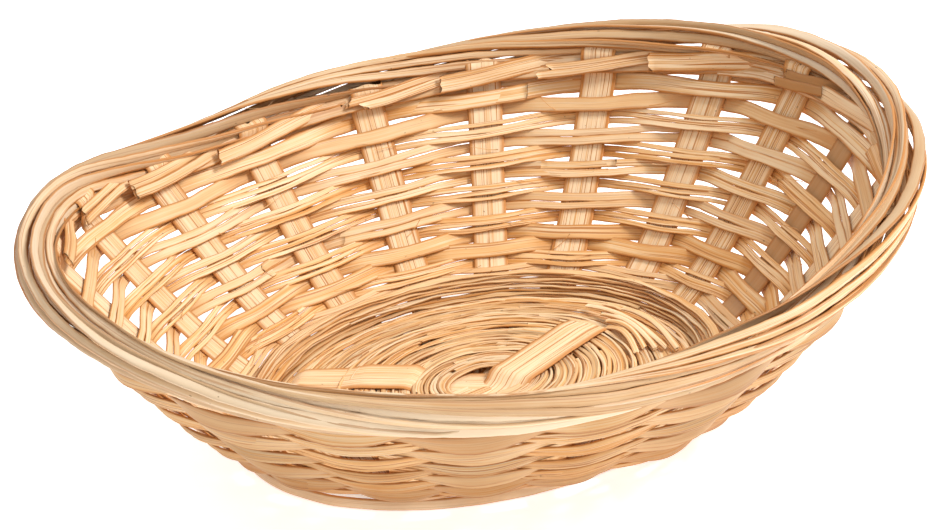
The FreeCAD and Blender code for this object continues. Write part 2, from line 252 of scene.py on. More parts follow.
class Piece:
    """Collects the ribbons of one physical piece and turns them into one mesh object."""

    def __init__(self, name):
        self.name = name
        self.points = []
        self.faces = []
        self.uvs = []
        self.tones = []
        self.edges = []
        self.count = 0

    def ribbon(self, middle, across, normal, width, thickness, tone, rng, outer=0.0,
               cup=0.0, ragged=0.0, cut=(0.0, 0.0), section=SECTION, relief=0.12, fray=0.12,
               painted_outer_shade=NO_TONE, edge=1.0):
        """Adds one strip.

        tone is (brightness, warmth, rind), and a tone of painted shade is added to it on the outer face.
        Lengths are in millimetres: cut skews the two ends, ragged roughens them, fray is the unevenness of
        the edges and cup hollows the strip.  edge says how strongly the painted shade along the edges shows.
        outer is 1 where the strip passes outside the stakes and -1 where it passes inside them: the
        face that lies deeper than its neighbours there gets painted shade, darker and warmer.
        """
        middle = np.asarray(middle, float)
        rows = len(middle)
        tangent = unit(np.gradient(middle, axis=0))
        across = unit(across - tangent * np.sum(across * tangent, axis=1, keepdims=True))
        flat = np.cross(tangent, across)
        flat *= np.sign(np.sum(flat * normal, axis=1, keepdims=True)) + 1e-9
        flat = unit(flat)
        distance = np.concatenate([[0], np.cumsum(np.linalg.norm(np.diff(middle, axis=0), axis=1))])
        half_width = np.broadcast_to(np.asarray(width, float) / 2, rows)
        half_thick = np.broadcast_to(np.asarray(thickness, float) / 2, rows)
        share = np.array([s for s, _ in section])
        height = np.array([h for _, h in section])
        ridge = 1 + relief * rng.uniform(-1, 1, len(section)) * (np.abs(share) < 0.8)
        left = wander(distance, fray, LEFT_FRAY, rng)
        right = wander(distance, fray, RIGHT_FRAY, rng)
        side = np.where(share[None, :] < 0, left[:, None], right[:, None]) * np.abs(share)[None, :]
        reach = share[None, :] * half_width[:, None] + side
        lift = height[None, :] * half_thick[:, None] * ridge[None, :]
        lift = lift - np.broadcast_to(cup, rows)[:, None] * share[None, :] ** 2
        placed = (middle[:, None, :] + across[:, None, :] * reach[..., None]
                  + flat[:, None, :] * lift[..., None])
        for end, skew in ((0, cut[0]), (rows - 1, cut[1])):
            jag = skew * share + ragged * rng.uniform(-1, 1, len(section))
            placed[end] += tangent[end][None, :] * jag[:, None]
        size = len(section)
        start = self.count
        index = start + np.arange(rows * size).reshape(rows, size)
        a, b = index[:-1], index[1:]
        quads = np.stack([a, b, np.roll(b, -1, axis=1), np.roll(a, -1, axis=1)], axis=-1).reshape(-1, 4)
        u_start, v_start = (rng.uniform(0, reach_of_grain) for reach_of_grain in UV_PLACES)
        uv = np.stack([np.broadcast_to(distance[:, None] + u_start, reach.shape), reach + v_start], axis=-1)
        self.points.append(placed.reshape(-1, 3))
        self.faces.append((quads, index[0][::-1].copy(), index[-1].copy()))
        self.uvs.append(uv.reshape(-1, 2) / UV_SCALE)
        passing = np.broadcast_to(np.asarray(outer, float), rows)
        # painted shade, darker and warmer, on the face that lies deeper than its neighbours
        recess_shade = np.clip(-passing[:, None] * np.sign(height)[None, :], 0, 1)
        shade = np.tile(np.asarray(tone, float), (rows, size, 1))
        shade += recess_shade[..., None] * np.array(RECESS_PAINTED_SHADE)
        # painted shade on the outer face
        shade += (height > 0)[None, :, None] * np.array(painted_outer_shade)
        self.tones.append(shade.reshape(-1, 3))
        self.edges.append((np.abs(share) * np.broadcast_to(edge, rows)[:, None]).ravel())
        self.count += rows * size

    def build(self, material, nodes):
        """The piece's mesh object, which stands for the CAD nodes."""
        points = np.concatenate(self.points) * MM
        uv = np.concatenate(self.uvs)
        faces = []
        for quads, first, last in self.faces:
            faces += quads.tolist() + [first.tolist(), last.tolist()]
        mesh = bpy.data.meshes.new(self.name)
        mesh.from_pydata(points.tolist(), [], faces)
        mesh.update()
        loops = np.zeros(len(mesh.loops), np.int32)
        mesh.loops.foreach_get("vertex_index", loops)
        layer = mesh.uv_layers.new(name="strip")
        layer.data.foreach_set("uv", uv[loops].astype(np.float32).ravel())
        tone = mesh.attributes.new("tone", "FLOAT_VECTOR", "POINT")
        tone.data.foreach_set("vector", np.concatenate(self.tones).astype(np.float32).ravel())
        edge = mesh.attributes.new("edge", "FLOAT", "POINT")
        edge.data.foreach_set("value", np.concatenate(self.edges).astype(np.float32))
        mesh.polygons.foreach_set("use_smooth", np.ones(len(mesh.polygons), bool))
        mesh.materials.append(material)
        piece = bpy.data.objects.new(self.name, mesh)
        bpy.context.scene.collection.objects.link(piece)
        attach(piece, "root")
        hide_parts(*nodes)


# ---------------------------------------------------------------- materials

def node_of(tree, kind, **settings):
    node = tree.nodes.new(kind)
    for name, value in settings.items():
        if name in node.inputs:
            node.inputs[name].default_value = value
        else:
            setattr(node, name, value)
    return node


def math_node(tree, operation, first, second):
    node = tree.nodes.new("ShaderNodeMath")
    node.operation = operation
    for socket, value in zip(node.inputs, (first, second)):
        if isinstance(value, bpy.types.NodeSocket):
            tree.links.new(value, socket)
        else:
            socket.default_value = value
    return node.outputs[0]


def plus(tree, first, second):
    return math_node(tree, "ADD", first, second)


def minus(tree, first, second):
    return math_node(tree, "SUBTRACT", first, second)


def times(tree, first, second):
    return math_node(tree, "MULTIPLY", first, second)


def mix_colour(tree, factor, first, second, blend="MIX"):
    node = tree.nodes.new("ShaderNodeMix")
    node.data_type = "RGBA"
    node.blend_type = blend
    for name, value in (("Factor", factor), ("A", first), ("B", second)):
        socket = next(s for s in node.inputs if s.name == name and s.enabled)
        if isinstance(value, bpy.types.NodeSocket):
            tree.links.new(value, socket)
        else:
            socket.default_value = value
    return next(s for s in node.outputs if s.enabled)


def ramp(tree, value, stops):
    """The colour at value between stops, each a place and a colour."""
    node = tree.nodes.new("ShaderNodeValToRGB")
    elements = node.color_ramp.elements
    while len(elements) < len(stops):
        elements.new(0.5)
    for element, (place, colour) in zip(elements, stops):
        element.position = place
        element.color = (*colour, 1.0)
    tree.links.new(value, node.inputs["Fac"])
    return node.outputs["Color"]


def fade(tree, value, start, end, low, high):
    """low up to start, high from end on, with a straight change between them."""
    return ramp(tree, value, [(0.0, low), (start, low), (end, high), (1.0, high)])


def stretched(tree, uv, along, across, detail, offset=0.0):
    """Noise drawn out along the strip: along and across are features per 100 mm."""
    scale = tree.nodes.new("ShaderNodeVectorMath")
    scale.operation = "MULTIPLY_ADD"
    tree.links.new(uv, scale.inputs[0])
    scale.inputs[1].default_value = (along, across, 1.0)
    scale.inputs[2].default_value = (offset, offset * 1.7, offset)
    noise = node_of(tree, "ShaderNodeTexNoise", Scale=1.0, Detail=detail, Roughness=0.55)
    tree.links.new(scale.outputs[0], noise.inputs["Vector"])
    return noise.outputs["Fac"]


WHITE = (1.0, 1.0, 1.0)
BLACK = (0.0, 0.0, 0.0)
SHADED = (0.55, 0.50, 0.44)
BLEACHED = (1.12, 1.15, 1.22)
PARTED_COLOUR = (0.56, 0.22, 0.05, 1.0)
# painted shade along the strips' edges
EDGE_SHADE_COLOUR = (0.55, 0.22, 0.05, 1.0)
SPECK_COLOUR = (0.16, 0.08, 0.03, 1.0)

# How strongly each part of the bamboo material shows.
GRAIN_WARMTH = 4.2        # the grain's lines in the colour
GRAIN_LIGHT = 0.7         # the grain's lines in the brightness
RIND_SMOOTH = 0.65        # the share of the grain that the rind hides
RIND_GREY = 0.6
PARTED = 0.9
# painted shade along the edges
EDGE_SHADE_STRENGTH = 0.9
SPECKS = 0.7


def bamboo(name, pale, mid, warm, skin, fibre_depth, gloss):
    """Split bamboo: straw colours, grain along the strip, painted shade along the edges, specks, and a
    smoother rind side.
    """
    material = bpy.data.materials.new(name)
    material.use_nodes = True
    tree = material.node_tree
    shader = tree.nodes["Principled BSDF"]
    uv = node_of(tree, "ShaderNodeUVMap", uv_map="strip").outputs["UV"]
    tone = node_of(tree, "ShaderNodeAttribute", attribute_name="tone").outputs["Vector"]
    edge = node_of(tree, "ShaderNodeAttribute", attribute_name="edge").outputs["Fac"]
    split = tree.nodes.new("ShaderNodeSeparateXYZ")
    tree.links.new(tone, split.inputs[0])
    bright, warmth, rind = split.outputs

    hair = stretched(tree, uv, 3.0, 420.0, 3.0)
    fibre = stretched(tree, uv, 1.2, 130.0, 2.0, offset=7.0)
    band = stretched(tree, uv, 2.5, 45.0, 1.0, offset=19.0)
    cloud = stretched(tree, uv, 6.0, 14.0, 2.0, offset=31.0)

    # grain: its lines count for less on the smooth rind side
    softer = minus(tree, 1.0, times(tree, rind, RIND_SMOOTH))
    lines = plus(tree, times(tree, hair, 0.3), times(tree, fibre, 0.7))
    lines = times(tree, minus(tree, lines, 0.5), softer)
    drift = plus(tree, times(tree, minus(tree, band, 0.5), 0.8), times(tree, minus(tree, cloud, 0.5), 0.5))
    heat = plus(tree, warmth, plus(tree, times(tree, lines, GRAIN_WARMTH), drift))
    colour = ramp(tree, heat, [(0.0, pale), (0.45, mid), (1.0, warm)])

    # thin saturated lines where the strip's fibres have parted
    parted = fade(tree, fibre, 0.39, 0.43, WHITE, BLACK)
    parted = times(tree, parted, times(tree, softer, PARTED))
    colour = mix_colour(tree, parted, colour, PARTED_COLOUR)

    # the rind side is greyer
    skinned = math_node(tree, "MAXIMUM", times(tree, rind, RIND_GREY), 0.0)
    colour = mix_colour(tree, skinned, colour, (*skin, 1.0))

    # painted shade: warm darkening along the edges, standing in for the shade between the strips
    edge_shade = times(tree, fade(tree, edge, 0.70, 0.90, BLACK, WHITE), EDGE_SHADE_STRENGTH)
    colour = mix_colour(tree, edge_shade, colour, EDGE_SHADE_COLOUR)

    # brightness of the strip as a whole, which also carries the painted shade added to the tone
    level = plus(tree, bright, times(tree, lines, GRAIN_LIGHT))
    light = ramp(tree, plus(tree, level, 0.5), [(0.0, SHADED), (0.5, WHITE), (1.0, BLEACHED)])
    colour = mix_colour(tree, 1.0, colour, light, "MULTIPLY")

    # dark specks
    speck = stretched(tree, uv, 55.0, 90.0, 1.0, offset=53.0)
    speck = fade(tree, speck, 0.20, 0.235, WHITE, BLACK)
    colour = mix_colour(tree, times(tree, speck, SPECKS), colour, SPECK_COLOUR)
    tree.links.new(colour, shader.inputs["Base Color"])

    rough = minus(tree, plus(tree, gloss, times(tree, fibre, 0.25)), times(tree, rind, 0.15))
    tree.links.new(rough, shader.inputs["Roughness"])
    shader.inputs["Specular IOR Level"].default_value = 0.35
    bump = node_of(tree, "ShaderNodeBump", Strength=0.55, Distance=fibre_depth * MM)
    relief = times(tree, plus(tree, fibre, times(tree, hair, 0.5)), softer)
    tree.links.new(relief, bump.inputs["Height"])
    tree.links.new(bump.outputs["Normal"], shader.inputs["Normal"])
    return material


FLOOR_GLOW = 0.65         # the lit sweep of a white studio, so bright that no shadow shows on it


def plain_floor_material():
    """A white sweep that glows evenly, except for a painted shadow under the basket, where the glow fades
    out inside the foot's outline.
    """
    material = bpy.data.materials.new("studio_floor")
    material.use_nodes = True
    tree = material.node_tree
    shader = tree.nodes["Principled BSDF"]
    noise = node_of(tree, "ShaderNodeTexNoise", Scale=3.0, Detail=2.0)
    shade = ramp(tree, noise.outputs["Fac"], [(0.0, (0.93, 0.93, 0.93)), (1.0, (0.96, 0.96, 0.96))])
    tree.links.new(shade, shader.inputs["Base Color"])
    shader.inputs["Roughness"].default_value = 0.9
    shader.inputs["Specular IOR Level"].default_value = 0.0
    place = node_of(tree, "ShaderNodeTexCoord").outputs["Object"]
    oval = tree.nodes.new("ShaderNodeVectorMath")
    oval.operation = "MULTIPLY"
    tree.links.new(place, oval.inputs[0])
    oval.inputs[1].default_value = (1 / (foot_half[0] * MM), 1 / (foot_half[1] * MM), 0.0)
    distance = tree.nodes.new("ShaderNodeVectorMath")
    distance.operation = "LENGTH"
    tree.links.new(oval.outputs[0], distance.inputs[0])
    # 0.5 on this ramp is the foot's outline; inside it the glow fades out, a painted shadow under the basket
    lit = fade(tree, times(tree, distance.outputs["Value"], 0.5), 0.42, 0.5, BLACK, WHITE)
    tree.links.new(lit, shader.inputs["Emission Color"])
    shader.inputs["Emission Strength"].default_value = FLOOR_GLOW
    return material


STRAW = bamboo("bamboo_weaver", pale=(0.92, 0.70, 0.44), mid=(0.82, 0.50, 0.22), warm=(0.66, 0.29, 0.07),
               skin=(0.70, 0.50, 0.30), fibre_depth=0.22, gloss=0.46)
STAKE = bamboo("bamboo_stake", pale=(0.92, 0.70, 0.45), mid=(0.84, 0.55, 0.29), warm=(0.66, 0.33, 0.11),
               skin=(0.58, 0.29, 0.11), fibre_depth=0.25, gloss=0.5)
SPLINT = bamboo("bamboo_splint", pale=(0.92, 0.71, 0.46), mid=(0.82, 0.52, 0.25), warm=(0.60, 0.27, 0.07),
                skin=(0.70, 0.50, 0.30), fibre_depth=0.2, gloss=0.48)
RIND = bamboo("bamboo_rim", pale=(0.90, 0.70, 0.47), mid=(0.78, 0.51, 0.27), warm=(0.60, 0.30, 0.10),
              skin=(0.70, 0.54, 0.37), fibre_depth=0.18, gloss=0.42)


# ---------------------------------------------------------------- wall weavers

WALL_SEED = 100
STEP = 1.8                # millimetres between sections along a strip
ROW_WIDTH = (4.7, 5.4)    # the least and the most
ROW_SPLITS = (1, 1, 2, 3)  # into how many strips a row may be split
ROW_RINDS = (0.0, 0.0, 0.5)  # how much rind its face may show
ROW_THICKNESS = 0.55
# painted shade: the rows' outer face is darker than their inner face
ROW_OUTER_PAINTED_SHADE = (-0.40, 0.2, 0.0)
SPLIT_GAP = 0.06
# How many bays a row starts before its first stake and ends after its last.
OVERLAP_BEFORE, OVERLAP_AFTER = 0.35, 0.5
ROW_RAISED = 0.3          # how far every row lies above its place in the CAD
ROW_ZIGZAG = 1.15         # how much further up it lies outside a stake, and further down inside one
ROW_BOW = 1.6             # how far it bows out over a stake and in behind one
ROW_BULGE = 0.4           # how much more it bows out than in
# The lowest rows, up to a share of the wall's height, lie higher still, except near one direction, where
# they sag: spread and distance.
LOW_ROWS = 0.25
LOW_ROWS_RAISED = 2.2
LOW_ROWS_SAG_AT, LOW_ROWS_SAG_SPREAD, LOW_ROWS_SAG = 300.0, 20.0, 3.8
# Rows are held tighter near the floor: up to what share of the height, and how much of their bow is left.
HELD_ROWS = 0.4
HELD_BOW = 0.45
OUTSIDE_LEAN = 0.15       # how far a row leans outwards over a stake, in radians
OUTSIDE_WIDER = 0.1
# What changes where the rows were pressed together.
TIGHT_STRAIGHTER, TIGHT_LEAN, TIGHT_WIDER = 0.6, 0.35, 0.3
# The wall's mean radius at the floor, and how much it grows up to the rim.
WALL_RADIUS, WALL_RADIUS_GAIN = 70, 50
ROW_SPLINTERS = 5


def samples_between(first_bay, last_bay, radius):
    """Directions from one bay to another, about a step apart at that radius."""
    first, last = azimuth_at(first_bay), azimuth_at(last_bay)
    count = max(8, int(abs(last - first) * radius / STEP))
    return np.linspace(first, last, count)


def tightness(azimuth):
    """1 on the side where the rows were pressed together, falling to 0 on the other."""
    return smooth_step(0.5 - 0.9 * np.sin(azimuth))


def wall_strip(piece, share, parity, first_bay, last_bay, width, lateral, lift, tone, rng):
    """One weaver strip on the wall, outside and inside the stakes by turns."""
    mean_radius = WALL_RADIUS + WALL_RADIUS_GAIN * share
    azimuth = samples_between(first_bay, last_bay, mean_radius)
    bays = bays_passed(azimuth)
    outside = np.cos(math.pi * (bays + parity))
    tight = tightness(azimuth)
    distance = (azimuth - azimuth[0]) * mean_radius
    zigzag = ROW_ZIGZAG * outside * (1 - TIGHT_STRAIGHTER * tight)
    shift = ROW_RAISED + zigzag + lateral + wander(distance, 0.28, 70.0, rng)
    raised = LOW_ROWS_RAISED - LOW_ROWS_SAG * near(azimuth, LOW_ROWS_SAG_AT, LOW_ROWS_SAG_SPREAD)
    shift = shift + raised * (1 - smooth_step(share / LOW_ROWS))
    point, slope, outward = wall_frame(azimuth, share)
    loose = HELD_BOW + (1 - HELD_BOW) * smooth_step(share / HELD_ROWS)
    bow = (ROW_BOW * outside + ROW_BULGE * outside ** 2) * loose + lift + wander(distance, 0.2, 45.0, rng)
    middle = point + slope * shift[:, None] + outward * bow[:, None]
    lean = -(OUTSIDE_LEAN + TIGHT_LEAN * tight) * loose * np.clip(outside, 0, 1)
    lean = lean + wander(distance, 0.08, 60.0, rng)
    across = slope * np.cos(lean)[:, None] + outward * np.sin(lean)[:, None]
    breadth = width * (1 + OUTSIDE_WIDER * outside + TIGHT_WIDER * tight + wander(distance, 0.06, 80.0, rng))
    piece.ribbon(middle, across, outward, breadth, ROW_THICKNESS, tone, rng, outer=outside,
                 cup=0.12, ragged=0.4, cut=(rng.uniform(-1, 1), rng.uniform(-1, 1)),
                 painted_outer_shade=ROW_OUTER_PAINTED_SHADE)


def add_splinters(piece, count, share, rng):
    """Fine fibres inside the wall that have come away from a strip at one end."""
    for _ in range(count):
        first = rng.uniform(0, ARM_COUNT)
        path = samples_between(first, first + rng.choice([-1, 1]) * rng.uniform(0.15, 0.5), RIM_MEAN_RADIUS)
        go = np.linspace(0, 1, len(path))
        point, slope, outward = wall_frame(path, share + rng.uniform(-0.04, 0.04))
        off = -1.0 - rng.uniform(1.0, 4.0) * go ** 2
        up = rng.uniform(-2.5, 4.0) * go ** 1.5
        middle = point + outward * off[:, None] + slope * up[:, None]
        piece.ribbon(middle, slope, outward, 0.3 - 0.2 * go, 0.2, (0.0, 0.6, 0.0), rng,
                     section=THIN_SECTION, fray=0.0)


def build_wall_row(number, node):
    """One row of the wall: a strip once round, split along its length or whole."""
    rng = np.random.default_rng(WALL_SEED + number)
    share = row_share(node)
    piece = Piece(f"weaver_row_{number + 1:02d}")
    start = rng.integers(0, ARM_COUNT)
    total = rng.uniform(*ROW_WIDTH)
    splits = rng.choice(ROW_SPLITS)
    parts = rng.uniform(0.8, 1.2, splits)
    parts = parts / parts.sum() * total
    edge = -total / 2
    tone = (rng.normal(0.06, 0.07), rng.uniform(0.1, 0.5), rng.choice(ROW_RINDS))
    for part in parts:
        own = (tone[0] + rng.normal(0, 0.03), tone[1] + rng.normal(0, 0.06), tone[2])
        wall_strip(piece, share, number, start - OVERLAP_BEFORE + rng.uniform(-0.1, 0.1),
                   start + ARM_COUNT + OVERLAP_AFTER + rng.uniform(-0.1, 0.3),
                   part - SPLIT_GAP, edge + part / 2, rng.uniform(-0.12, 0.12), own, rng)
        edge += part
    add_splinters(piece, ROW_SPLINTERS, share, rng)
    piece.build(STRAW, [node])


# ---------------------------------------------------------------- stakes

STAKE_SEED = 300
CORNER_RADIUS = 9.0       # of the bend from the floor to the wall
STAKE_WIDTH = 10.4
STAKE_THICKNESS = 0.5
STAKE_TOP = 0.985         # the share of the wall's height at which the upright part ends
UNDER_SPLINTS = 5.9       # the highest that a stake under the splints lies
OVER_OUTER_SPLINTS = 7.0  # how high a stake lies on the splints near the wall
# Half sizes of the ovals in which the stakes cross, and beyond which they all lie on the floor's level.
HUB = (36.0, 31.0)
HUB_END = (46.0, 40.0)
# Stakes split from the inner side of the cane, whose fibres stand out as stripes, and how strongly.
STRIPED = {0: 0.4, 4: 0.2, 6: 0.8, 7: 1.0}
DARK_TONE = (-0.3, 0.5, 1.0)
# Where the two stakes that lie on the splints come up and go down, on the side of their own direction.
SEEN = {STAKES[8]: (20.0, 57.0), STAKES[9]: (3.0, 44.0)}
UNSEEN = (900.0, 900.0)
SEEN_WIDER = 0.3          # how much wider those two are near the middle
ASIDE = {STAKES[9]: -5.0}  # how far a stake misses the basket's middle
# How far out those last two hold, and over what distance they fade.
MIDDLE_PART, MIDDLE_FADE = 60.0, 25.0
# A stake's folded end: the share of the wall's height at which it starts, and the least and the most of
# its reach in bays, its width, and its drop as a share of the wall's height.
FOLD_SHARE = 0.947
FOLD_REACH = (1.1, 1.75)
FOLD_WIDTH = (4.2, 7.0)
FOLD_DROP = (0.045, 0.075)


def stake_profile(azimuth, crossing, seen=UNSEEN):
    """Half of a stake's line as (distance from the Z axis, height), from the middle out to the rim.

    crossing is its height in the middle.  A stake that lies on the splints comes up through them and goes
    down again at the distances in seen.
    """
    bottom = oval_radius(FLOOR_A, FLOOR_B, azimuth)
    top = oval_radius(RIM_A, RIM_B, azimuth)
    rim = rim_level(azimuth)
    run, rise = top - bottom, rim - FLOOR_Z
    slope = math.atan2(rise, run)
    hub = oval_radius(*HUB, azimuth)
    hub_end = oval_radius(*HUB_END, azimuth)
    tangent = CORNER_RADIUS * math.tan(slope / 2)
    floor_line = np.arange(0, bottom - tangent, STEP)
    sag = smooth_step((floor_line - hub) / (hub_end - hub))
    heights = min(crossing, UNDER_SPLINTS) * (1 - sag) + FLOOR_Z * sag
    over = crossing + (OVER_OUTER_SPLINTS - crossing) * sag
    shown = smooth_step((floor_line - seen[0]) / 5.0 + 0.5) * smooth_step((seen[1] - floor_line) / 5.0 + 0.5)
    if crossing > UNDER_SPLINTS:
        heights = heights + (over - heights) * shown
    bend = np.linspace(0, slope, 8)[1:-1]
    bend_x = bottom - tangent + CORNER_RADIUS * np.sin(bend)
    bend_z = FLOOR_Z + CORNER_RADIUS * (1 - np.cos(bend))
    wall_length = math.hypot(run, rise)
    wall = np.arange(tangent, wall_length * STAKE_TOP, STEP)
    inward = stub_inset(wall / wall_length)
    bow = belly(wall / wall_length)[0] + slack(azimuth, wall / wall_length)
    wall_x = bottom + wall * math.cos(slope) - inward * math.sin(slope) + bow
    wall_z = FLOOR_Z + wall * math.sin(slope) + inward * math.cos(slope)
    return (np.concatenate([floor_line, bend_x, wall_x]),
            np.concatenate([heights, bend_z, wall_z]))


def stub_inset(share):
    """How far a stake's top stands inside the wall, to pass in front of the rim's lowest strips."""
    return 4.4 * smooth_step((share - 0.86) / 0.08) - 1.4 * smooth_step((share - 0.95) / 0.04)


def stake_across(azimuth):
    """The direction in which the oval runs where the stake crosses it, which is the stake's width."""
    _, outward = rim_frame(azimuth)
    return np.array([-outward[1], outward[0], 0.0])


def build_stake(number, node):
    """A whole stake, from rim to rim, with the folded strip at each of its ends."""
    rng = np.random.default_rng(STAKE_SEED + number)
    piece = Piece(f"stake_{number + 1:02d}")
    azimuth = stake_azimuths[node]
    crossing = hub_levels[node]
    radius, height = stake_profile(azimuth, crossing, SEEN.get(node, UNSEEN))
    back_radius, back_height = stake_profile(azimuth + math.pi, crossing)
    radius = np.concatenate([-back_radius[:0:-1], radius])
    height = np.concatenate([back_height[:0:-1], height])
    middle = stack(radius * math.cos(azimuth), radius * math.sin(azimuth), height)
    inner = smooth_step((MIDDLE_PART - np.abs(radius)) / MIDDLE_FADE)
    aside = ASIDE.get(node, 0.0) * inner
    middle += aside[:, None] * np.array([-math.sin(azimuth), math.cos(azimuth), 0.0])
    across = np.tile(stake_across(azimuth), (len(middle), 1))
    normal = np.tile([0.0, 0.0, 1.0], (len(middle), 1))
    width = STAKE_WIDTH * (1 + wander(radius, 0.03, 60.0, rng))
    if node in SEEN:
        width = width * (1 + SEEN_WIDER * inner)
    tone = np.array([rng.normal(0.02, 0.03), rng.uniform(0.1, 0.35), -STRIPED.get(number, 0.0)])
    if node == dark_stake:
        tone += DARK_TONE
    piece.ribbon(middle, across, normal, width, STAKE_THICKNESS, tone, rng, cup=0.1, ragged=1.2)
    for end in (0, 1):
        add_folded_end(piece, azimuth + math.pi * end, tone, rng)
    piece.build(STAKE, [node])


def add_folded_end(piece, azimuth, tone, rng):
    """The stake's end, folded over inside the rim and laid along it in front of the next stake."""
    bay = float(bays_passed(np.array(azimuth)))
    reach = rng.uniform(*FOLD_REACH)
    total = rng.uniform(*FOLD_WIDTH)
    drop = rng.uniform(*FOLD_DROP)
    strips = rng.choice([1, 2])
    for strip in range(strips):
        path = samples_between(bay + 0.06, bay + reach + rng.uniform(-0.08, 0.08), RIM_MEAN_RADIUS)
        go = np.linspace(0, 1, len(path))
        share = FOLD_SHARE - drop * smooth_step(go * 1.15) + rng.uniform(-0.008, 0.008)
        point, slope, outward = wall_frame(path, share)
        inside = -1.2 - 3.0 * smooth_step(go / 0.7)
        offset = (strip - (strips - 1) / 2) * total / strips
        middle = point + outward * inside[:, None] + slope * offset
        lean = -0.2 + wander(go, 0.12, 0.9, rng)
        across = slope * np.cos(lean)[:, None] + outward * np.sin(lean)[:, None]
        own = (tone[0] + rng.normal(0, 0.04), tone[1] + rng.normal(0.1, 0.08), tone[2])
        piece.ribbon(middle, across, outward, total / strips - 0.1, STAKE_THICKNESS, own, rng, ragged=0.8,
                     cut=(0, rng.uniform(-1.5, 1.5)))


# ---------------------------------------------------------------- base

BASE_SEED = 500
SPLINT_PITCH = 1.05
SPLINTS_PER_RING = 5
RING_INSET = 1.6          # how far inside its band in the CAD a bundle's middle lies
SPLINT_WIDTH = (1.0, 1.8)  # the least and the most
# Rings next to the gap between the inner and the outer group, and next to the wall, carry extra splints.
EXTRA_INSIDE = {0: 3, 5: 3}
EXTRA_OUTSIDE = {4: 4, 8: 1}
CORNER_SPLINTS = 7
CORNER_SPLINT_WIDTH = (2.0, 2.8)
# How far up and out each corner splint lies from the one before, and where the first one starts.
CORNER_CLIMB, CORNER_OUT = 0.7, 0.8
CORNER_FIRST_Z, CORNER_FIRST_INSET = FLOOR_Z + 0.8, 0.5
LOOSE_SPLINTS = 5
LOOSE_SPLINT_WIDTH = (1.8, 2.6)
# How far out the loose splints lie, as shares of the floor's radius, and between what directions, in
# degrees, each of their two ends lies.
LOOSE_FROM, LOOSE_TO = 0.68, 0.86
LOOSE_ENDS = ((12, 32), (-16, -4))
LOOSE_SECTIONS = 24
LOOSE_SPLINT_Z = FLOOR_Z + 3.4
LOOSE_ARCH, LOOSE_DROP = 2.2, 0.8    # how far a loose splint's middle rises and its far end drops


def splint(piece, a, b, level, rng, width=SPLINT_WIDTH):
    """One fine strip of the base, a little more than once round an oval of half sizes a and b."""
    start = rng.uniform(0, TURN)
    sweep = TURN * rng.uniform(0.98, 1.1)
    steps = max(int(sweep * (a + b) / 2 / STEP), 24)
    angle = np.linspace(start, start + sweep, steps)
    spiral = (angle - start) / TURN - 0.5
    distance = (angle - start) * a
    drift = spiral * SPLINT_PITCH + wander(distance, 0.35, 60.0, rng)
    radius = oval_radius(a + drift, b + drift, angle)
    z = level + wander(distance, 0.25, 30.0, rng) + rng.uniform(-0.15, 0.3)
    middle = stack(radius * np.cos(angle), radius * np.sin(angle), z)
    away = stack(np.cos(angle), np.sin(angle), 0.0)
    up = stack(np.zeros_like(angle), 0.0, 1.0)
    roll = wander(distance, 0.3, 50.0, rng)
    across = away * np.cos(roll)[:, None] + up * np.sin(roll)[:, None]
    tone = (rng.normal(-0.14, 0.12), rng.uniform(0.1, 0.7), 0.0)
    piece.ribbon(middle, across, up, rng.uniform(*width), rng.uniform(0.5, 0.8), tone, rng,
                 section=THIN_SECTION, ragged=0.4)


def build_base_ring(number, node):
    """A bundle of splints; the last one has the splints round the corner and the loose ones too."""
    rng = np.random.default_rng(BASE_SEED + number)
    piece = Piece(f"base_splints_{number + 1:02d}")
    low, _ = box_mm(node)
    half_length, half_width = half_sizes(node)
    inside = EXTRA_INSIDE.get(number, 0)
    outside = EXTRA_OUTSIDE.get(number, 0)
    for strand in range(-inside, SPLINTS_PER_RING + outside):
        offset = (strand - (SPLINTS_PER_RING - 1) / 2) * SPLINT_PITCH - RING_INSET
        splint(piece, half_length + offset, half_width + offset, low[2] + 0.45, rng)
    if node == BASE_RINGS[-1]:
        add_corner_splints(piece, half_length, half_width, rng)
        add_loose_splints(piece, rng)
    piece.build(SPLINT, [node])


def add_loose_splints(piece, rng):
    """Splints that came loose at the end of the floor that points along the X axis."""
    for share in np.linspace(LOOSE_FROM, LOOSE_TO, LOOSE_SPLINTS):
        go = np.linspace(0, 1, LOOSE_SECTIONS)
        ends = []
        for azimuth in np.radians([rng.uniform(*between) for between in LOOSE_ENDS]):
            radius = share * oval_radius(FLOOR_A, FLOOR_B, azimuth)
            ends.append(np.array([radius * math.cos(azimuth), radius * math.sin(azimuth)]))
        flat = ends[0] + (ends[1] - ends[0]) * go[:, None]
        flat = flat + unit(flat) * (4.0 * go * (1 - go))[:, None]
        height = LOOSE_SPLINT_Z + LOOSE_ARCH * np.sin(math.pi * go) - LOOSE_DROP * go
        middle = stack(flat[:, 0], flat[:, 1], height)
        along = unit(ends[1] - ends[0])
        across = np.tile([-along[1], along[0], 0.25], (len(go), 1))
        up = np.tile([0.0, 0.0, 1.0], (len(go), 1))
        tone = (rng.normal(0.08, 0.04), rng.uniform(0.1, 0.3), 0.0)
        piece.ribbon(middle, across, up, rng.uniform(*LOOSE_SPLINT_WIDTH), 0.6, tone, rng,
                     section=THIN_SECTION, ragged=0.5)


def add_corner_splints(piece, half_length, half_width, rng):
    """Splints that climb from the floor on to the foot of the wall, inside the stakes."""
    for step in range(CORNER_SPLINTS):
        level = CORNER_FIRST_Z + CORNER_CLIMB * (step + 1)
        out = CORNER_OUT * step - CORNER_FIRST_INSET
        splint(piece, half_length + out, half_width + out, level, rng, CORNER_SPLINT_WIDTH)


# ---------------------------------------------------------------- rim

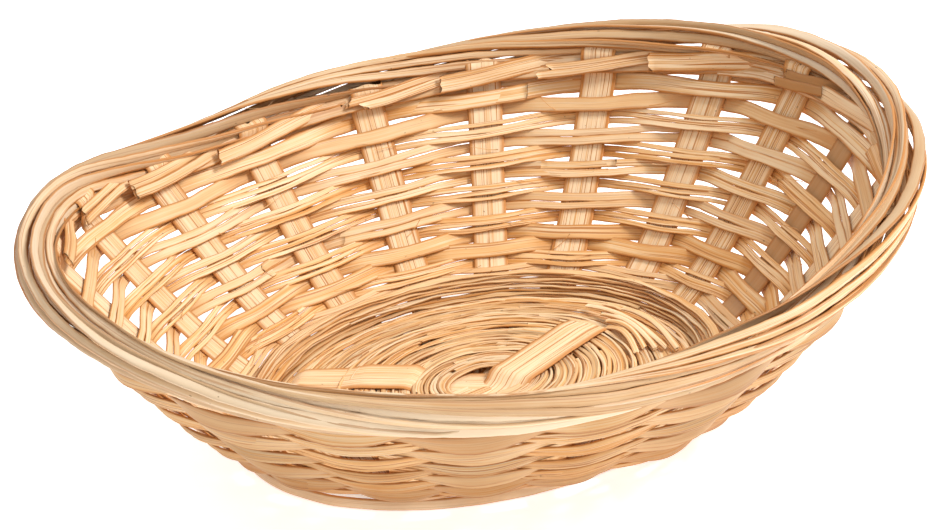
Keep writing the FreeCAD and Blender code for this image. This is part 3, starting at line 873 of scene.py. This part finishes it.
RIM_SEED = 700
RIM_TURNS = 1.9           # how many times a strand turns round the rim's middle in one lap
STRAND_TURNS = 2          # and along its whole length, which is a little more than a lap
RIM_PHASE = 1.63
RIM_SECTIONS = 420
RIM_TILT = 0.22           # how far a strip's face is turned from straight out, in radians
RIM_THICKNESS = 0.8
# How far from the rim's middle a strand lies, and how much further where it covers its own start.
STRAND_OUT = 4.0
SECOND_LAP_OUT = 1.0
# How far both ends are tucked in at the rim's underside, and over what length.
TUCKED_IN, TUCK_LENGTH = 2.5, 15.0
# Where the bundle is thinner: direction, spread and distance.
THIN_AT, THIN_SPREAD, THINNER = 190.0, 30.0, 1.1
# Where a strand's strips lie flush, as if it were whole: direction and spread.
FLUSH_AT, FLUSH_SPREAD = 232.0, 38.0
SPLIT_SPACE = 0.35        # between a strand's strips elsewhere, and how much higher the next one lies
FLUSH_OVERLAP = 0.05
# Where the rim's strips lie further apart: direction, spread and gap.
LOOSE_PLACES = ((345.0, 35.0, 1.2), (40.0, 22.0, 1.0), (125.0, 26.0, 0.3), (178.0, 24.0, 1.5))
# Each rim strand: its width, the shares of that width its split strips take, and its tone.
RIM_STRIPS = [(7.8, (0.4, 0.25, 0.35), (-0.08, 0.05, 1.0)),
              (7.4, (0.3, 0.42, 0.28), (-0.28, 0.55, 0.3)),
              (6.8, (0.3, 0.32, 0.38), (-0.12, 0.3, 0.1)),
              (7.2, (0.5, 0.5), (-0.28, 0.5, 0.6)),
              (7.2, (0.36, 0.3, 0.34), (-0.12, 0.35, 0.4))]
RIM_SPLINTERS = 6
RIM_SPLINTER_SHARE = 0.97
# The strips under the rim: how far each lies outside the wall's middle, and the least and the most of
# their length in bays, their width, and their share of the wall's height.
LININGS = (1.2, -2.0, 1.2, -2.0)
LINING_BAYS = (7, 11)
LINING_WIDTH = (2.6, 4.2)
LINING_SHARE = (0.88, 0.95)


def looseness(azimuth):
    """How much further apart than usual a strand's strips lie."""
    return sum(gap * near(azimuth, place, spread) for place, spread, gap in LOOSE_PLACES)


def rim_strip(piece, azimuth, angle, level, offset, width, tone, rng, edge):
    """One strip wound along the rim; angle goes round the rim's middle from outward through up."""
    middle, outward = rim_frame(azimuth)
    up = np.array([0.0, 0.0, 1.0])
    away = outward * np.cos(angle)[:, None] + up * np.sin(angle)[:, None]
    leaning = angle + RIM_TILT
    facing = outward * np.cos(leaning)[:, None] + up * np.sin(leaning)[:, None]
    across = up * np.cos(leaning)[:, None] - outward * np.sin(leaning)[:, None]
    line = middle + away * level[:, None] + across * offset[:, None]
    piece.ribbon(line, across, facing, width, RIM_THICKNESS, tone, rng,
                 cup=0.1 + 0.15 * edge, ragged=1.2, cut=(1.5, -1.5), edge=edge)


def build_rim_strand(number, node):
    """A long flat strip, split along its length, that winds slowly round the rim."""
    rng = np.random.default_rng(RIM_SEED + number)
    piece = Piece(f"rim_strip_{number + 1}")
    phase = RIM_PHASE + TURN * number / len(RIM_STRANDS)
    start = (phase + math.pi / 2 + TURN * rng.integers(0, 3)) / RIM_TURNS
    azimuth = np.linspace(start, start + TURN * STRAND_TURNS / RIM_TURNS, RIM_SECTIONS)
    distance = (azimuth - start) * RIM_MEAN_RADIUS
    angle = phase - RIM_TURNS * azimuth + wander(distance, 0.14, 160.0, rng)
    second_lap = smooth_step((azimuth - start - 0.93 * TURN) / (0.07 * TURN))
    core = (STRAND_OUT + wander(distance, 0.25, 110.0, rng) + SECOND_LAP_OUT * second_lap
            - THINNER * near(azimuth, THIN_AT, THIN_SPREAD))
    from_end = distance[-1] - distance
    tucked = 2 - smooth_step(distance / TUCK_LENGTH) - smooth_step(from_end / TUCK_LENGTH)
    core = core - TUCKED_IN * tucked
    width, shares, tone = RIM_STRIPS[number]
    opened = 1 - near(azimuth, FLUSH_AT, FLUSH_SPREAD)
    side = -width / 2
    for order, share in enumerate(shares):
        gap = SPLIT_SPACE * opened - FLUSH_OVERLAP + looseness(azimuth) * rng.uniform(0.7, 1.2)
        spread = (order - (len(shares) - 1) / 2) * gap
        own = (tone[0] + rng.normal(0, 0.03), tone[1] + rng.normal(0, 0.05), tone[2])
        level = core + (SPLIT_SPACE * order + wander(distance, 0.2, 130.0, rng)) * opened
        # the last value is the strength of the painted edge shade, less where the strips lie flush
        rim_strip(piece, azimuth, angle, level, side + width * share / 2 + spread, width * share,
                  own, rng, 0.55 + 0.45 * opened)
        side += width * share
    for outside in LININGS:
        add_lining(piece, rng, outside)
    add_splinters(piece, RIM_SPLINTERS, RIM_SPLINTER_SHARE, rng)
    piece.build(RIND, [node])


def add_lining(piece, rng, outside):
    """A narrow strip under the rim, part of the way round, that far outside the wall's middle."""
    first = rng.uniform(0, ARM_COUNT)
    azimuth = samples_between(first, first + rng.uniform(*LINING_BAYS), RIM_MEAN_RADIUS)
    distance = (azimuth - azimuth[0]) * RIM_MEAN_RADIUS
    share = rng.uniform(*LINING_SHARE) + wander(distance, 0.008, 90.0, rng)
    point, slope, outward = wall_frame(azimuth, share)
    lean = wander(distance, 0.3, 80.0, rng)
    across = slope * np.cos(lean)[:, None] + outward * np.sin(lean)[:, None]
    middle = point + outward * (outside + wander(distance, 0.4, 60.0, rng))[:, None]
    tone = (rng.normal(0.0, 0.06), rng.uniform(0.2, 0.7), 0.2)
    piece.ribbon(middle, across, outward, rng.uniform(*LINING_WIDTH), 0.5, tone, rng,
                 ragged=1.0, cut=(1.0, 1.0))


# ---------------------------------------------------------------- foot

FOOT_SEED = 900
FOOT_ASIDE = -3.5         # the foot was not laid quite in the middle
FOOT_STRETCH = (0.9, -0.6)  # what its half length and half width have more than the CAD band's
FOOT_START = 150.0        # direction in degrees
FOOT_LAPS = 1.07
FOOT_SECTIONS = 260
FOOT_THICKNESS = 1.0
# Where the band ends over its own start: over what length it moves out, and how far.
FOOT_OVERLAP, FOOT_OVERLAP_OUT = 35, 1.1


def build_foot(node):
    """One strip on edge, bent into an oval, with its ends one over the other."""
    rng = np.random.default_rng(FOOT_SEED)
    piece = Piece("foot_strip")
    _, high = box_mm(node)
    start = math.radians(FOOT_START)
    azimuth = np.linspace(start, start + TURN * FOOT_LAPS, FOOT_SECTIONS)
    distance = (azimuth - start) * foot_half[0]
    overlap = smooth_step((distance - distance[-1] + FOOT_OVERLAP) / FOOT_OVERLAP)
    radius = oval_radius(foot_half[0] + FOOT_STRETCH[0], foot_half[1] + FOOT_STRETCH[1], azimuth)
    radius = radius + FOOT_OVERLAP_OUT * overlap
    radius = radius + wander(distance, 0.25, 70.0, rng)
    lift = wander(distance, 0.12, 60.0, rng) + 0.15
    middle = stack(radius * np.cos(azimuth) + FOOT_ASIDE, radius * np.sin(azimuth), high[2] / 2 + lift)
    outward = stack(np.cos(azimuth), np.sin(azimuth), 0.0)
    up = stack(np.zeros_like(azimuth), 0.0, 1.0)
    piece.ribbon(middle, up, outward, high[2] - 0.1, FOOT_THICKNESS, (-0.03, 0.45, 0.6), rng, cup=0.1,
                 ragged=0.3, cut=(1.0, 1.0), fray=0.06)
    piece.build(RIND, [node])


# ---------------------------------------------------------------- the whole basket

HUB_REACH = 42.0          # points this near the Z axis tell a CAD stake's height at the crossing


def hub_level(node):
    """Height of a stake where the stakes cross: the CAD strip's own height over the Z axis."""
    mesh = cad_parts[node].data
    points = np.array([v.co for v in mesh.vertices]) / MM
    middle = points[np.hypot(points[:, 0], points[:, 1]) < HUB_REACH]
    return float(middle[:, 2].min() + middle[:, 2].max()) / 2 if len(middle) else FLOOR_Z


hub_levels = {node: hub_level(node) for node in STAKES}
# The stake nearest the X axis is darker than the others.
dark_stake = min(STAKES, key=lambda node: abs(math.sin(stake_azimuths[node])))

for number, node in enumerate(STAKES):
    build_stake(number, node)
for number, node in enumerate(WALL_ROWS):
    build_wall_row(number, node)
for number, node in enumerate(BASE_RINGS):
    build_base_ring(number, node)
for number, node in enumerate(RIM_STRANDS):
    build_rim_strand(number, node)
build_foot("foot_band")


# ---------------------------------------------------------------- studio

# The camera's angles are in degrees, and azimuth 0 looks along +Y.
CAMERA_AZIMUTH = -21.2
CAMERA_ELEVATION = 28.0
CAMERA_ROLL = -4.4
CAMERA_DISTANCE = 1300.0
CAMERA_LENS = 177.5
CAMERA_TARGET = (-4.8, -5.5, 48.7)
LAMP_TARGET = (0, 0, 20)
# Each lamp: its name, its place in millimetres, its size in metres and its power in watts.
LAMPS = (("key", (750, -450, 1000), 0.4, 16.5),
         ("back", (-200, 900, 900), 0.8, 5.5),
         ("fill", (-350, -800, 800), 0.9, 3.2))
SKY_STRENGTH = 0.4
FLOOR_HALF_SIDE = 3.0     # metres


def add_floor():
    mesh = bpy.data.meshes.new("studio_floor")
    side = FLOOR_HALF_SIDE
    corners = [(-side, -side, 0), (side, -side, 0), (side, side, 0), (-side, side, 0)]
    mesh.from_pydata(corners, [], [(0, 1, 2, 3)])
    mesh.materials.append(plain_floor_material())
    floor = bpy.data.objects.new("studio_floor", mesh)
    bpy.context.scene.collection.objects.link(floor)


def aim(item, place, target, roll=0.0):
    """Puts a camera or lamp at place, looking at target, both in millimetres."""
    place, target = Vector(place) * MM, Vector(target) * MM
    turn = (target - place).to_track_quat("-Z", "Y").to_matrix().to_4x4()
    item.matrix_world = Matrix.Translation(place) @ turn @ Matrix.Rotation(roll, 4, "Z")


def add_camera():
    data = bpy.data.cameras.new("camera")
    data.lens = CAMERA_LENS
    data.sensor_width = 36.0
    data.clip_start = 0.01
    camera = bpy.data.objects.new("camera", data)
    bpy.context.scene.collection.objects.link(camera)
    azimuth, elevation = math.radians(CAMERA_AZIMUTH), math.radians(CAMERA_ELEVATION)
    back = Vector((math.sin(azimuth) * math.cos(elevation), -math.cos(azimuth) * math.cos(elevation),
                   math.sin(elevation)))
    target = Vector(CAMERA_TARGET)
    aim(camera, target + back * CAMERA_DISTANCE, target, math.radians(CAMERA_ROLL))
    bpy.context.scene.camera = camera


def add_lamp(name, place, size, power):
    data = bpy.data.lights.new(name, "AREA")
    data.shape = "SQUARE"
    data.size = size
    data.energy = power
    lamp = bpy.data.objects.new(name, data)
    bpy.context.scene.collection.objects.link(lamp)
    aim(lamp, place, LAMP_TARGET)


def add_light():
    world = bpy.data.worlds.new("studio")
    world.use_nodes = True
    background = world.node_tree.nodes["Background"]
    background.inputs["Color"].default_value = (1.0, 1.0, 1.0, 1.0)
    background.inputs["Strength"].default_value = SKY_STRENGTH
    bpy.context.scene.world = world
    for name, place, size, power in LAMPS:
        add_lamp(name, place, size, power)


add_floor()
add_camera()
add_light()
bpy.context.scene.view_settings.view_transform = "Standard"
